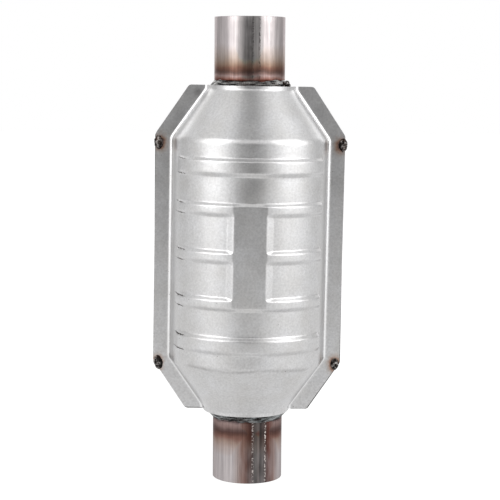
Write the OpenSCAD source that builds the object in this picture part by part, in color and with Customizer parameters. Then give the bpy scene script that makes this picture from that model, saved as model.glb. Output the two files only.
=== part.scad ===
// Round catalytic converter with two stub pipes and a pressed heat shield.
// The exhaust axis is Z. The outlet pipe's end is at z = 0 and the inlet is on top.
// The shield halves meet in the plane y = 0, and the half at -Y is the front one.

/* [Overall] */
// Length from one pipe end to the other
total_len = 335.5; // [285:0.5:420]

/* [Pipes] */
// Outside diameter of both stub pipes
pipe_d = 50.8; // [42:0.1:62]
// Wall of the stub pipes
pipe_wall = 1.65; // [1.2:0.05:2.5]
// How far each pipe reaches into its end cone
pipe_socket = 8; // [5:0.5:14]
// How much a pipe's end is sized down, in radius, from the neck weld inwards
pipe_sizing = 0.3; // [0.3:0.05:0.6]
// Depth that the scarfed weld seam is cut into a pipe's outside
seam_depth = 0.12; // [0.05:0.01:0.3]
// Azimuth of the inlet pipe's seam, to the right of the front, in degrees
inlet_seam = 10; // [-180:1:180]
// Azimuth of the outlet pipe's seam
outlet_seam = 19; // [-180:1:180]

/* [Can] */
// Outside diameter of the inner can
can_d = 101.6; // [84:0.1:125]
// Length of the straight can tube
can_len = 158; // [131:0.5:192]
// Wall of the can tube
can_wall = 1.2; // [0.9:0.1:2]
// Wall of the pressed end cones
cone_wall = 1.5; // [1:0.1:2]
// Length of an end cone beyond the can, to its small end
cone_len = 40.6; // [33:0.1:50]
// Length of the straight skirt that slips into the can
cone_skirt = 8; // [5:0.5:12]
// Straight neck at the small end
cone_neck = 1.5; // [1:0.1:4]

/* [Welds] */
// Length of the neck weld along the pipe
neck_leg = 3.3; // [2.5:0.1:5]
// Height of the neck weld above the pipe
neck_rise = 4.55; // [3.8:0.05:6]
// Leg of the weld between a cone and the can
can_leg = 2.2; // [1.5:0.1:2.5]
// Radius of the weld nuggets on the shield's flanges
nugget_r = 2.7; // [2:0.1:3.5]
// Radius of the tack weld on the upper collar
tack_r = 3.2; // [2.8:0.1:4]

/* [Catalyst] */
// Gap round a brick that the mat fills
mat_gap = 3.1; // [2.5:0.1:5]
// How far the outer end of a brick sits inside the can
brick_back = 5; // [3:0.5:10]
// Gap between the two bricks
brick_gap = 12; // [8:0.5:20]
// Pitch of the square cells, drawn coarser than the real 1.3 mm
cell_pitch = 4.2; // [3.5:0.1:8]
// Wall between the cells
cell_wall = 0.6; // [0.4:0.05:1.2]
// Outer skin of a brick
brick_skin = 1; // [0.6:0.1:2]
// How far the mat stops short of a brick's inner end
mat_back = 1.5; // [1:0.5:6]
// Length of a knitted wire seal ring
seal_len = 5; // [3:0.5:7]
// Width of the joint where the wrapped mat meets itself
mat_joint = 0.8; // [0.4:0.1:2]

/* [Heat shield] */
// Sheet thickness of the shield
shield_wall = 0.9; // [0.6:0.1:1.4]
// Air gap between the can and the shield
air_gap = 6.7; // [5.5:0.1:9]
// How far the shield's straight part runs past the can at each end
shoulder_over = 1.35; // [0:0.05:3]
// Distance from a cone's small end back to the shield's collar edge
collar_back = 1.6; // [1:0.1:3]
// Height of the collar at each end of the shield
collar_len = 2.6; // [1.5:0.1:5]
// Outside bend radius at the shoulders
shoulder_bend = 7; // [4:0.5:10]
// Outside bend radius between cone and collar
collar_bend = 3; // [1.5:0.1:5]
// Width of the flat flanges beside the straight part
flange_w = 10; // [8:0.5:14]
// Width of the flat flanges beside the collars
flange_end_w = 12; // [9:0.5:15]
// How far a flange's long side runs past the shoulder
flange_over = 2.7; // [0:0.1:5]
// Corner radius of the flange outline
flange_corner = 2.5; // [1:0.5:5]
// Outside bend radius where a flange leaves the shell
root_bend = 3.8; // [2:0.1:5]

/* [Ribs] */
// Height of the raised ribs
rib_h = 2; // [1:0.1:3]
// Width of a rib across its foot
rib_w = 13; // [10:0.5:16]
// Width of the slope on each side of a rib
rib_slope = 2.5; // [1.5:0.1:3.5]
// Distance from a shoulder to the foot of the nearest rib
rib_back = 11.5; // [8:0.1:14]
// Width of the ladder's three bars across the foot
bar_w = 10; // [8:0.5:13]
// Spacing of the ladder's bars
bar_pitch = 33; // [26:0.5:38]
// Distance from the flange root to the ribs' ends
rib_short = 6.5; // [6:0.1:12]
// Half width of the ladder's flat middle strip
strip_half = 11; // [8:0.5:14]
// Width of the slope on each side of the strip
strip_slope = 5; // [3:0.5:7]
// Bend radius at the edges of the ribs
rib_edge = 1.4; // [1:0.1:2]

/* [As assembled] */
// Lean of the shield against the pipe axis, in degrees
shield_skew = 0.76; // [0:0.02:1]
// Shift of the shield towards the inlet
shield_lift = 1; // [0:0.1:2]
// Turn of the rear half against the front half, in degrees
rear_turn = 0.3; // [0:0.05:0.5]
// Drop of the rear half against the front half
rear_drop = 0.35; // [0:0.05:1]

/* [Clearances] */
// Radial gap between a pipe's sized end and the cone
pipe_fit = 0.15; // [0.05:0.05:0.3]
// Radial gap between a cone's skirt and the can
skirt_fit = 0.1; // [0.05:0.05:0.3]
// Gap between the shield's collar and the neck weld, on the side that leans in
collar_seat = 0.3; // [0.1:0.05:0.6]
// Radial gap between the mat and its neighbours
mat_fit = 0.05; // [0.02:0.01:0.2]

/* [Hidden] */
$fn = 96;
over = 1; // overshoot that makes a cut come out clean
arc_steps = 6; // straight pieces in each rounded bend
rib_root = 8; // how far the ribs' solids reach in below the shell's outer face

middle = total_len / 2;
pipe_r = pipe_d / 2;
can_r = can_d / 2;
can_half = can_len / 2;
skirt_r = can_r - can_wall - skirt_fit;
skirt_bend = 6; // outside bend radius between the cone's skirt and its slope
skirt_bend_run = 2.4; // length of skirt that the bend takes up
cone_lead = can_leg + skirt_bend_run; // straight stretch outside the can, with room for the weld
socket_r = pipe_r - pipe_sizing;
neck_r = socket_r + pipe_fit + cone_wall;
neck_bend = 3; // bend radius between the cone's slope and its small end
neck_z = can_half + cone_len;
weld_r = pipe_r + neck_rise;
weld_back = 2; // distance of the neck weld's widest ring behind the cone's end
weld_toe = 2; // length of cone that the neck weld covers behind that ring

shell_r = can_r + air_gap + shield_wall;
shield_half = neck_z - collar_back;
shoulder_z = can_half + shoulder_over;
collar_z = shield_half - collar_len;
rib_pitch = shoulder_z - rib_back - rib_w / 2;
rib_end = shell_r - rib_short;

brick_r = can_r - can_wall - mat_gap;
brick_in = brick_gap / 2;
brick_out = can_half - brick_back;
mat_r = [brick_r + mat_fit, can_r - can_wall - mat_fit]; // inner and outer radius of mats and seals
seals_in = brick_in + mat_back;
skirt_clear = 0.5; // gap between the cone's skirt and the outer seal
seals_out = can_half - cone_skirt - skirt_clear;

function unit(v) = v / norm(v);
function cross2(a, b) = a[0] * b[1] - a[1] * b[0];
// The direction to the right of the way from p to q
function right_of(p, q) = let (u = unit(q - p)) [u[1], -u[0]];

// A path moved sideways by d, to the right for a positive d, with mitred corners
function shifted(path, d) = [
    for (i = [0 : len(path) - 1])
        let (
            before = right_of(path[max(i - 1, 0)], path[max(i, 1)]),
            after = right_of(path[min(i, len(path) - 2)], path[min(i + 1, len(path) - 1)]),
            mitre = unit(before + after)
        )
        path[i] + mitre * d / (mitre * before)
];

// Bend radii of the moved path: larger outside a left turn, smaller inside it
function shifted_radii(path, radii, d) = [
    for (i = [0 : len(path) - 1])
        i == 0 || i == len(path) - 1 ? 0 :
        radii[i] + d * sign(cross2(path[i] - path[i - 1], path[i + 1] - path[i]))
];

// The points of an arc of radius r that rounds the corner b between a and c
function bend(a, b, c, r) =
    let (
        u = unit(a - b),
        v = unit(c - b),
        half = acos(u * v) / 2,
        middle_point = b + unit(u + v) * r / sin(half),
        start = b + u * r / tan(half) - middle_point,
        end = b + v * r / tan(half) - middle_point,
        turn = 180 - 2 * half
    )
    [
        for (i = [0 : arc_steps])
            middle_point
                + start * sin(turn * (1 - i / arc_steps)) / sin(turn)
                + end * sin(turn * i / arc_steps) / sin(turn)
    ];

// A path with its inner corners rounded to the given radii
function bent(path, radii) = [
    path[0],
    for (i = [1 : len(path) - 2])
        each bend(path[i - 1], path[i], path[i + 1], radii[i]),
    path[len(path) - 1]
];

// A path of sheet metal: moved by d and bent, with the radii following
function sheet_path(path, radii, d = 0) = bent(shifted(path, d), shifted_radii(path, radii, d));

function reversed(list) = [for (i = [len(list) - 1 : -1 : 0]) list[i]];

// The closed outline of a sheet whose right-hand face is the path
function sheet_outline(path, radii, wall) = concat(
    sheet_path(path, radii),
    reversed(sheet_path(path, radii, -wall))
);

// Outer face of an end cone, from the skirt in the can to the small end
cone_path = [
    [skirt_r, can_half - cone_skirt],
    [skirt_r, can_half + cone_lead],
    [neck_r, neck_z - cone_neck],
    [neck_r, neck_z]
];
cone_radii = [0, skirt_bend, neck_bend, 0];

// Radius of the cone's slope at the height z
function cone_r_at(z) =
    let (low = cone_path[1], high = cone_path[2])
    low[0] + (high[0] - low[0]) * (z - low[1]) / (high[1] - low[1]);

// The collar clears the neck weld and the cone on the side that the shield leans to
most_lean = max(shield_skew, abs(shield_skew - rear_turn));
lean_shift = (shield_half + shield_lift) * sin(most_lean);
widest_r = max(weld_r, cone_r_at(collar_z - shield_lift));
collar_r = widest_r + lean_shift + collar_seat + shield_wall;

// How far the root bend runs into the shell and into the flange, so that no step is left
root_top = shield_wall + root_bend;
root_bite = collar_r - sqrt(pow(collar_r, 2) - pow(root_top, 2)) + 0.2;
root_sink = 0.03;

// Pieces that are the same at both ends are drawn for the inlet, up from the middle
module at_outlet() {
    translate([0, 0, middle]) mirror([0, 0, 1]) children();
}

module at_inlet() {
    translate([0, 0, middle]) children();
}

// Places a part of the shield where the leaning shield sits
module on_shield(turn = 0, drop = 0) {
    translate([0, 0, middle + shield_lift - drop])
        rotate([0, shield_skew - turn, 0])
            children();
}

module on_rear_shield() {
    on_shield(rear_turn, rear_drop) rotate([0, 0, 180]) children();
}

// Stub pipe: a seam-welded tube from its free end into the cone. Its seam is scarfed flat
// outside, and its inner end is sized to slip into the cone.
module stub_pipe(seam) {
    start = neck_z - pipe_socket;
    long = middle - start;
    sized = pipe_socket + neck_leg;
    rotate([0, 0, seam])
        translate([0, 0, start])
            difference() {
                union() {
                    cylinder(r = socket_r, h = long);
                    translate([0, 0, sized]) cylinder(r = pipe_r, h = long - sized);
                }
                translate([0, 0, -over])
                    cylinder(r = pipe_r - pipe_wall, h = long + 2 * over);
                translate([-pipe_r / 2, -pipe_r + seam_depth - over, -over])
                    cube([pipe_r, over, long + 2 * over]);
            }
}

// End cone: one drawn pressing
module end_cone() {
    rotate_extrude()
        polygon(sheet_outline(cone_path, cone_radii, cone_wall));
}

// Inner can: a rolled tube
module can_shell() {
    translate([0, 0, middle - can_half])
        difference() {
            cylinder(r = can_r, h = can_len);
            translate([0, 0, -over])
                cylinder(r = can_r - can_wall, h = can_len + 2 * over);
        }
}

// Neck weld: a convex bead from the pipe, over the cone's end and down onto its slope
module neck_weld() {
    foot_z = neck_z - weld_back - weld_toe;
    fullness = 0.6; // share of its rise that the bead has over the cone's end
    crown_bend = 3;
    toe_bend = 1.2;
    crown = [
        [pipe_r, neck_z + neck_leg],
        [pipe_r + neck_rise * fullness, neck_z],
        [weld_r, neck_z - weld_back],
        [cone_r_at(foot_z), foot_z]
    ];
    seat = bent(cone_path, cone_radii);
    rotate_extrude()
        polygon(concat(
            [crown[0]],
            bend(crown[0], crown[1], crown[2], crown_bend),
            bend(crown[1], crown[2], crown[3], toe_bend),
            [crown[3]],
            [for (p = seat) if (p[1] > foot_z) p],
            [[socket_r, neck_z], [socket_r, neck_z + neck_leg]]
        ));
}

// Weld between an end cone and the can's rim
module cone_weld() {
    low = [can_r - 0.1, can_half]; // just inside the can's outer edge
    top = [skirt_r, can_half + can_leg];
    fullness = 0.7; // share of its leg that the bead has over the rim
    rotate_extrude()
        polygon(concat(
            [[skirt_r, can_half], low],
            bend(low, low + [0, can_leg * fullness], top, can_leg / 2.2),
            [top]
        ));
}

// Honeycomb brick: a lattice of thin walls inside a round skin
module brick() {
    count = ceil(brick_r / cell_pitch);
    translate([0, 0, brick_in])
        linear_extrude(brick_out - brick_in)
            union() {
                difference() {
                    circle(r = brick_r);
                    circle(r = brick_r - brick_skin);
                }
                intersection() {
                    circle(r = brick_r - brick_skin / 2);
                    union() {
                        for (i = [-count : count]) {
                            translate([(i + 0.5) * cell_pitch - cell_wall / 2, -brick_r])
                                square([cell_wall, 2 * brick_r]);
                            translate([-brick_r, (i + 0.5) * cell_pitch - cell_wall / 2])
                                square([2 * brick_r, cell_wall]);
                        }
                    }
                }
            }
}

// Fibre mat: one wrap round the brick, with a tongue and groove where it meets itself
module mat() {
    low = seals_in + seal_len;
    long = seals_out - seal_len - low;
    third = long / 3;
    tongue = 14; // width of the tongue, round the mat
    translate([0, 0, low])
        difference() {
            cylinder(r = mat_r[1], h = long);
            translate([0, 0, -over]) cylinder(r = mat_r[0], h = long + 2 * over);
            mat_slit(-tongue / 2, -over, mat_joint, third + over);
            mat_slit(tongue / 2, third, mat_joint, third);
            mat_slit(-tongue / 2, 2 * third, mat_joint, third + over);
            mat_slit(-tongue / 2, third, tongue + mat_joint, mat_joint);
            mat_slit(-tongue / 2, 2 * third - mat_joint, tongue + mat_joint, mat_joint);
        }
}

// A cut through the back of the mat, wide by tall, with its corner at x and z
module mat_slit(x, z, wide, tall) {
    translate([x, mat_r[0] - 2 * over, z])
        cube([wide, mat_r[1] - mat_r[0] + 3 * over, tall]);
}

// Knitted wire ring that closes one end of the mat gap, rounded on its open side
module wire_seal() {
    soft = (mat_r[1] - mat_r[0]) * 0.3; // edge rounding
    ring = [[mat_r[1], 0], [mat_r[1], seal_len], [mat_r[0], seal_len], [mat_r[0], 0]];
    rotate_extrude()
        polygon(bent(ring, [0, soft, soft, 0]));
}

module outer_seal() {
    translate([0, 0, seals_out - seal_len]) wire_seal();
}

module inner_seal() {
    translate([0, 0, seals_in + seal_len]) mirror([0, 0, 1]) wire_seal();
}

// Outer face of the shield's shell, from the lower collar to the upper one
shell_path = [
    [collar_r, -shield_half],
    [collar_r, -collar_z],
    [shell_r, -shoulder_z],
    [shell_r, shoulder_z],
    [collar_r, collar_z],
    [collar_r, shield_half]
];
shell_radii = [0, collar_bend, shoulder_bend, shoulder_bend, collar_bend, 0];

// Profile of all that lies under the shell's face, moved in by d and longer by ends
module shell_core(d, ends = 0) {
    face = sheet_path(shell_path, shell_radii, -d);
    polygon(concat(
        [[0, -shield_half - ends], [face[0][0], -shield_half - ends]],
        face,
        [[face[0][0], shield_half + ends], [0, shield_half + ends]]
    ));
}

// One raised band round the shell with its middle at height z, moved in by d
module rib_band(z, width, d) {
    sunk = 1 + d; // the slopes' feet lie this far below the shell's face
    run = rib_slope * sunk / rib_h;
    path = [
        [shell_r - sunk, z - width / 2 - run],
        [shell_r + rib_h, z - width / 2 + rib_slope],
        [shell_r + rib_h, z + width / 2 - rib_slope],
        [shell_r - sunk, z + width / 2 + run]
    ];
    rotate_extrude(angle = 180, start = 180)
        polygon(concat(
            sheet_path(path, [0, rib_edge, rib_edge, 0], -d),
            [[shell_r - rib_root, z + width / 2], [shell_r - rib_root, z - width / 2]]
        ));
}

// The ribs end at x = rib_end in walls that stand square to the flanges
module between_rib_ends(d) {
    reach = 2 * shell_r;
    intersection() {
        children();
        translate([-rib_end + d, -reach, -shield_half])
            cube([2 * (rib_end - d), reach, 2 * shield_half]);
    }
}

// Distance of the ladder's flat strip from the axis. The flat that it cuts on the bars is a
// little wider than the strip, so that their edges stay apart.
strip_spare = 0.7;
strip_y = sqrt(pow(shell_r + rib_h, 2) - pow(strip_half + strip_spare, 2));
strip_foot_x = strip_half + strip_slope;
strip_foot_y = sqrt(pow(shell_r, 2) - pow(strip_foot_x, 2));

// The flat strip that ties the ladder's bars together, moved in by d
module ladder_strip(d) {
    foot_slope = (strip_y - strip_foot_y) / strip_slope;
    sunk = 2; // the slopes run on this far past their feet
    back = -shell_r + rib_root;
    path = [
        [-strip_foot_x - sunk, -strip_foot_y + foot_slope * sunk],
        [-strip_half, -strip_y],
        [strip_half, -strip_y],
        [strip_foot_x + sunk, -strip_foot_y + foot_slope * sunk]
    ];
    face = shifted(path, -d);
    translate([0, 0, -bar_pitch])
        linear_extrude(2 * bar_pitch)
            polygon(concat(face, [[strip_half, back], [-strip_half, back]]));
}

// The ladder: three bars cut flat by the strip's chord, and the strip
module ladder(d) {
    reach = 2 * shell_r;
    intersection() {
        between_rib_ends(d) {
            union() {
                for (step = [-1 : 1]) rib_band(step * bar_pitch, bar_w, d);
            }
        }
        translate([-reach, -strip_y + d, -shield_half])
            cube([2 * reach, reach, 2 * shield_half]);
    }
    ladder_strip(d);
}

module ribs(d) {
    between_rib_ends(d) {
        for (side = [-1, 1]) rib_band(side * rib_pitch, rib_w, d);
    }
    ladder(d);
}

// Edge of the flanges beside the shell and beside the collars, and the height of the corner
flange_x = shell_r + flange_w;
flange_end_x = collar_r + flange_end_w;
flange_z = shoulder_z + flange_over;

// Outline of the flange on the right, seen from the front
flange_side = [
    [collar_r - over, -shield_half],
    [flange_end_x, -shield_half],
    [flange_x, -flange_z],
    [flange_x, flange_z],
    [flange_end_x, shield_half],
    [collar_r - over, shield_half]
];
flange_radii = [0, flange_corner, 2 * flange_corner, 2 * flange_corner, flange_corner, 0];

// Distance of the flange's edge from the middle plane x = 0 at the height z
function flange_edge(z) =
    flange_x - max(0, abs(z) - flange_z) * (flange_x - flange_end_x) / (shield_half - flange_z);

// The flat sheet of one half's flanges, y from -wall to 0
module flange_sheet(wall) {
    side = bent(flange_side, flange_radii);
    rotate([90, 0, 0])
        linear_extrude(wall)
            polygon(concat(side, [for (p = reversed(side)) [-p[0], p[1]]]));
}

// All that lies under a root bend, x outwards from the shell's line and y away from the flange
module root_section(d) {
    radius = root_bend + d;
    centre = [root_bend - root_bite, shield_wall + root_bend - root_sink];
    polygon(concat(
        [[-total_len, centre[1]], [-total_len, -over * sign(d)], [centre[0], -over * sign(d)]],
        [
            for (i = [0 : arc_steps])
                centre - radius * [sin(90 * i / arc_steps), cos(90 * i / arc_steps)]
        ]
    ));
}

// All between the root bends along two upright lines at x = -half and x = half
module between_roots(half, d) {
    tall = 2 * (shield_half + over * sign(d));
    translate([0, 0, -tall / 2])
        linear_extrude(tall)
            mirror([0, 1])
                intersection() {
                    translate([half, 0]) root_section(d);
                    mirror([1, 0]) translate([half, 0]) root_section(d);
                }
}

// All on the inner side of the root bend along the slope from the shoulder to the collar
module inside_slope(d) {
    along = [collar_r - shell_r, collar_z - shoulder_z];
    translate([shell_r, 0, shoulder_z])
        rotate([0, atan2(along[0], along[1]), 0])
            translate([0, 0, -total_len])
                linear_extrude(2 * total_len)
                    mirror([0, 1]) root_section(d);
}

module root_bends(d) {
    intersection() {
        between_roots(shell_r, d);
        inside_slope(d);
        mirror([1, 0, 0]) inside_slope(d);
        mirror([0, 0, 1]) inside_slope(d);
        mirror([1, 0, 0]) mirror([0, 0, 1]) inside_slope(d);
    }
    between_roots(collar_r, d);
}

// Everything under the outer face of a front half
module half_outside() {
    rotate_extrude(angle = 180, start = 180) shell_core(0);
    flange_sheet(shield_wall);
    root_bends(0);
    ribs(0);
}

// Everything inside the inner face, reaching past the open sides
module half_inside() {
    rotate_extrude() shell_core(shield_wall, over);
    root_bends(shield_wall);
    ribs(shield_wall);
}

// One half of the heat shield, pressed from sheet
module shield_half_shell() {
    difference() {
        half_outside();
        half_inside();
    }
}

// Both flange sheets as laid together, which a nugget wraps round
module both_flanges() {
    on_shield() flange_sheet(shield_wall);
    on_rear_shield() flange_sheet(shield_wall);
}

// Weld nugget: drops of metal along the flanges' edge, melted round both sheets.
// side is 1 on the right and -1 on the left; from and to are heights above the shield's middle.
module flange_nugget(side, from, to, inset, drops) {
    uneven = 0.08; // every other drop is larger by this share, and the ones between smaller
    difference() {
        on_shield()
            for (i = [0 : drops - 1])
                let (z = from + (to - from) * i / (drops - 1))
                    translate([side * (flange_edge(z) - inset), 0, z])
                        sphere(r = nugget_r * (1 + uneven * cos(180 * i)));
        both_flanges();
    }
}

module upper_left_nugget() {
    flange_nugget(-1, flange_z - 9.9, flange_z - 3.3, 2.3, 4);
}

module upper_right_nugget() {
    flange_nugget(1, flange_z - 9.5, flange_z - 3, 1.6, 4);
}

module lower_left_nugget() {
    flange_nugget(-1, -flange_z + 1.5, -flange_z - 5, 2.3, 5);
}

module lower_right_nugget() {
    flange_nugget(1, -flange_z + 1.5, -flange_z - 3.5, 2.4, 3);
}

// The upper collar with the end of the shell's cone, all the way round
module upper_collar() {
    path = [for (i = [3 : 5]) shell_path[i]];
    rotate_extrude()
        polygon(sheet_outline(path, [0, collar_bend, 0], shield_wall));
}

// Tack weld that bridges from the neck weld to the shield's upper collar, on the wide side
module tack_weld() {
    azimuth = 57; // to the right of the front
    sagged = 1.85; // height of the drop in radii, flat on top and below
    reach = weld_r + 0.8; // its middle lies this far out, so that it bites into the weld
    height = middle + shield_half + shield_lift + 0.5; // a little above the collar's edge
    difference() {
        translate([reach * sin(azimuth), -reach * cos(azimuth), height])
            intersection() {
                sphere(r = tack_r);
                cube([3 * tack_r, 3 * tack_r, sagged * tack_r], center = true);
            }
        at_inlet() neck_weld();
        at_inlet() end_cone();
        on_shield() upper_collar();
    }
}

color("#8f8580") at_inlet() stub_pipe(inlet_seam);  // inlet_pipe
color("#8f8580") at_outlet() stub_pipe(outlet_seam);  // outlet_pipe
color("#7d7a78") at_inlet() end_cone();  // inlet_cone
color("#7d7a78") at_outlet() end_cone();  // outlet_cone
color("#8a8886") can_shell();  // can_tube
color("#3a3230") at_inlet() neck_weld();  // inlet_neck_weld
color("#3a3230") at_outlet() neck_weld();  // outlet_neck_weld
color("#3a3230") at_inlet() cone_weld();  // inlet_cone_weld
color("#3a3230") at_outlet() cone_weld();  // outlet_cone_weld
color("#b8a98c") at_inlet() brick();  // inlet_brick
color("#b8a98c") at_outlet() brick();  // outlet_brick
color("#c9c4b8") at_inlet() mat();  // inlet_mat
color("#c9c4b8") at_outlet() mat();  // outlet_mat
color("#9a9a9a") at_inlet() outer_seal();  // inlet_outer_seal
color("#9a9a9a") at_inlet() inner_seal();  // inlet_inner_seal
color("#9a9a9a") at_outlet() inner_seal();  // outlet_inner_seal
color("#9a9a9a") at_outlet() outer_seal();  // outlet_outer_seal
color("#c4c7c8") on_shield() shield_half_shell();  // heat_shield_front
color("#c4c7c8") on_rear_shield() shield_half_shell();  // heat_shield_rear
color("#2e2622") upper_left_nugget();  // flange_weld_upper_left
color("#2e2622") upper_right_nugget();  // flange_weld_upper_right
color("#2e2622") lower_left_nugget();  // flange_weld_lower_left
color("#2e2622") lower_right_nugget();  // flange_weld_lower_right
color("#2e2622") tack_weld();  // collar_tack
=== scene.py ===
"""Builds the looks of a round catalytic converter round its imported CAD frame.

The file is laid out as a Blender add-on and run as a script. All lengths are metres in the
frame's own axes: the exhaust axis is Z, the outlet pipe's end is at z = 0, the front is -Y.
"""

import math

import bpy
import numpy as np
from bpy.props import FloatProperty, FloatVectorProperty, PointerProperty
from mathutils import Matrix, Vector


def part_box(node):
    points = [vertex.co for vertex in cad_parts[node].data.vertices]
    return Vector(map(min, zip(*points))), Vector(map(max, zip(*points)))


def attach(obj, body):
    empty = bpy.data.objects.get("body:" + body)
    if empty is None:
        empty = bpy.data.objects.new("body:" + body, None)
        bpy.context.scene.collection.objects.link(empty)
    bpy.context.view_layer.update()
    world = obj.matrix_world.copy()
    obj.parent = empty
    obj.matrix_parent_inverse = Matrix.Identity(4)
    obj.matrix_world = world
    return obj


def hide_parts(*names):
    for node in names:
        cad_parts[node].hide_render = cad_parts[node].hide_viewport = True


bl_info = {
    "name": "Catalytic Converter",
    "version": (1, 0, 0),
    "blender": (4, 5, 0),
    "location": "3D View > Sidebar > Converter",
    "description": "Builds a round catalytic converter with a pressed heat shield",
    "category": "Object",
}

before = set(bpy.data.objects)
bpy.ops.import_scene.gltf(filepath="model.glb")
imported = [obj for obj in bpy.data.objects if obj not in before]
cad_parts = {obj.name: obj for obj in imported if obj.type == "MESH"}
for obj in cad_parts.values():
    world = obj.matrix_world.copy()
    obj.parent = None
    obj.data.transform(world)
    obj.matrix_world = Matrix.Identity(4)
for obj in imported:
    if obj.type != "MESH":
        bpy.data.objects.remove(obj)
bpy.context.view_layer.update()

MM = 0.001
BODY = "root"
HEAT_REACH = 26 * MM  # a neck weld's temper colours fade out this far from it
SEAM_REACH = 20 * MM  # a seam's stain lies within this distance of it
NOISE_LOW, NOISE_HIGH = 0.3, 0.7  # nearly all of a noise's values lie between these
MARKS = ("temper", "scuff_and_edge_shade", "grime_and_shade", "painted_highlight")  # the shield's per-vertex attributes
WELD_LOW, WELD_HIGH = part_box("inlet_neck_weld")
PIPE_LOW, PIPE_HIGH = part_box("inlet_pipe")
TOTAL = PIPE_HIGH[2]
MIDDLE = TOTAL / 2


def linear(code):
    """Turns an sRGB hex colour into linear red, green and blue with a full alpha."""
    parts = [int(code[i : i + 2], 16) / 255 for i in (1, 3, 5)]
    curve = [p / 12.92 if p <= 0.04045 else ((p + 0.055) / 1.055) ** 2.4 for p in parts]
    return (*curve, 1.0)


def number(name, description, default, **settings):
    """A number that a user may change."""
    return FloatProperty(name=name, description=description, default=default, **settings)


def length(name, description, default):
    """A size in metres that a user may change."""
    return number(name, description, default, min=0, unit="LENGTH", precision=5)


def turn(name, description, degrees):
    """An angle that a user may change."""
    return number(name, description, math.radians(degrees), subtype="ANGLE")


def colour(name, description, code):
    """A colour that a user may change."""
    return FloatVectorProperty(
        name=name, description=description, default=linear(code), size=4, min=0, max=1,
        subtype="COLOR",
    )


class ShieldSettings(bpy.types.PropertyGroup):
    """Sizes and colour of the pressed heat shield."""

    wall: length("Sheet", "Thickness of the shield's sheet", 0.9 * MM)
    shell_r: length("Shell radius", "Outer radius of the straight shell", 58.4 * MM)
    oval: number("Oval", "Share by which the shell's sides are drawn in", 0.045, min=0, max=0.2)
    collar_r: length("Collar radius", "Outer radius of the end collars", 32.73 * MM)
    shoulder_z: length("Shoulder", "Height of the shoulder above the middle", 80.35 * MM)
    collar_len: length("Collar", "Height of each end collar", 2.6 * MM)
    shoulder_bend: length("Shoulder bend", "Bend radius at the shoulders", 7 * MM)
    collar_bend: length("Collar bend", "Bend radius under the collars", 3 * MM)
    flange_w: length("Flange", "Width of the flanges beside the shell", 10 * MM)
    flange_end_w: length("Flange end", "Width of the flanges beside the collars", 12 * MM)
    flange_over: length("Flange overrun", "Straight edge beyond the shoulder", 2.7 * MM)
    flange_corner: length("Flange corner", "Corner radius of the flanges", 2.5 * MM)
    root_bend: length("Root bend", "Bend radius between shell and flange", 3.2 * MM)
    rib_h: length("Rib height", "Height of the raised ribs", 2 * MM)
    rib_w: length("Rib width", "Width of a rib across its foot", 13 * MM)
    rib_slope: length("Rib slope", "Width of the slopes beside a rib", 2.5 * MM)
    rib_back: length("Rib distance", "From a shoulder to the nearest rib's foot", 11.5 * MM)
    rib_edge: length("Rib edge", "Bend radius along the ribs", 1.2 * MM)
    rib_short: length("Rib end", "Distance of the ribs' ends from the shell's side", 6.5 * MM)
    rib_fade: length("Rib run-out", "Length over which a rib's end sinks in", 1.8 * MM)
    bar_w: length("Bar width", "Width of the ladder's bars across the foot", 10 * MM)
    bar_pitch: length("Bar pitch", "Spacing of the ladder's bars", 33 * MM)
    strip_half: length("Strip", "Half width of the ladder's flat strip", 11 * MM)
    strip_slope: length("Strip slope", "Width of the slopes beside the strip", 5 * MM)
    die_line: length("Die line", "Depth of the line where the dies met", 0.12 * MM)
    lean: turn("Lean", "Lean of the shield against the pipe axis", 0.76)
    rear_turn: turn("Rear turn", "Turn of the rear half against the front", 0.35)
    rear_drop: length("Rear drop", "How much lower the rear half sits than its node", 0.25 * MM)
    sheet: colour("Sheet colour", "Bare aluminised sheet", "#cccccd")
    worn: colour("Worn colour", "Where the tool has rubbed the coating", "#c3c2c1")


class PipeSettings(bpy.types.PropertyGroup):
    """Sizes and colour of the stub pipes."""

    wall: length("Wall", "Wall of the stub pipes", 1.65 * MM)
    sizing: length("Sizing", "How much the pipe's end is sized down in radius", 0.3 * MM)
    seam_depth: length("Seam depth", "Depth that the seam is scarfed flat", 0.12 * MM)
    seam_half: length("Seam", "Half width of the scarfed seam", 4.8 * MM)
    inlet_seam: turn("Inlet seam", "Azimuth of the inlet pipe's seam", 10)
    outlet_seam: turn("Outlet seam", "Azimuth of the outlet pipe's seam", 19)
    steel: colour("Tube", "Plain tube away from the weld", "#bfb8b8")


class WeldSettings(bpy.types.PropertyGroup):
    """Sizes and colours of the welds."""

    leg: length("Leg", "Length of the neck weld along the pipe", 3.3 * MM)
    rise: length("Rise", "Height of the neck weld above the pipe", 4.55 * MM)
    ripple: length("Ripple", "Spacing of the ripples round a neck weld", 1.9 * MM)
    nugget_r: length("Nugget", "Radius of the flange nuggets", 2.8 * MM)
    tack_r: length("Tack", "Radius of the tack on the upper collar", 3.2 * MM)
    tack_azimuth: turn("Tack azimuth", "Place of the tack, right of the front", 57)
    bead: colour("Bead", "Weld metal of the inlet bead", "#a3a2a0")
    sooty: colour("Sooty bead", "Weld metal of the outlet bead", "#a6abac")
    burnt: colour("Burnt metal", "Burnt skin of the nuggets", "#1d1a19")


class CatalystSettings(bpy.types.PropertyGroup):
    """Sizes and colour of the ceramic bricks."""

    pitch: length("Cell pitch", "Pitch of the square cells, 400 to the square inch", 1.27 * MM)
    cell_wall: length("Cell wall", "Wall between the cells", 0.2 * MM)
    depth: length("Cell depth", "How deep a cell is drawn", 4 * MM)
    patch: length("Cell patch", "Width of the square of cells that the pipes show", 60 * MM)
    ceramic: colour("Ceramic", "Fired cordierite with its washcoat", "#b59a72")


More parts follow.
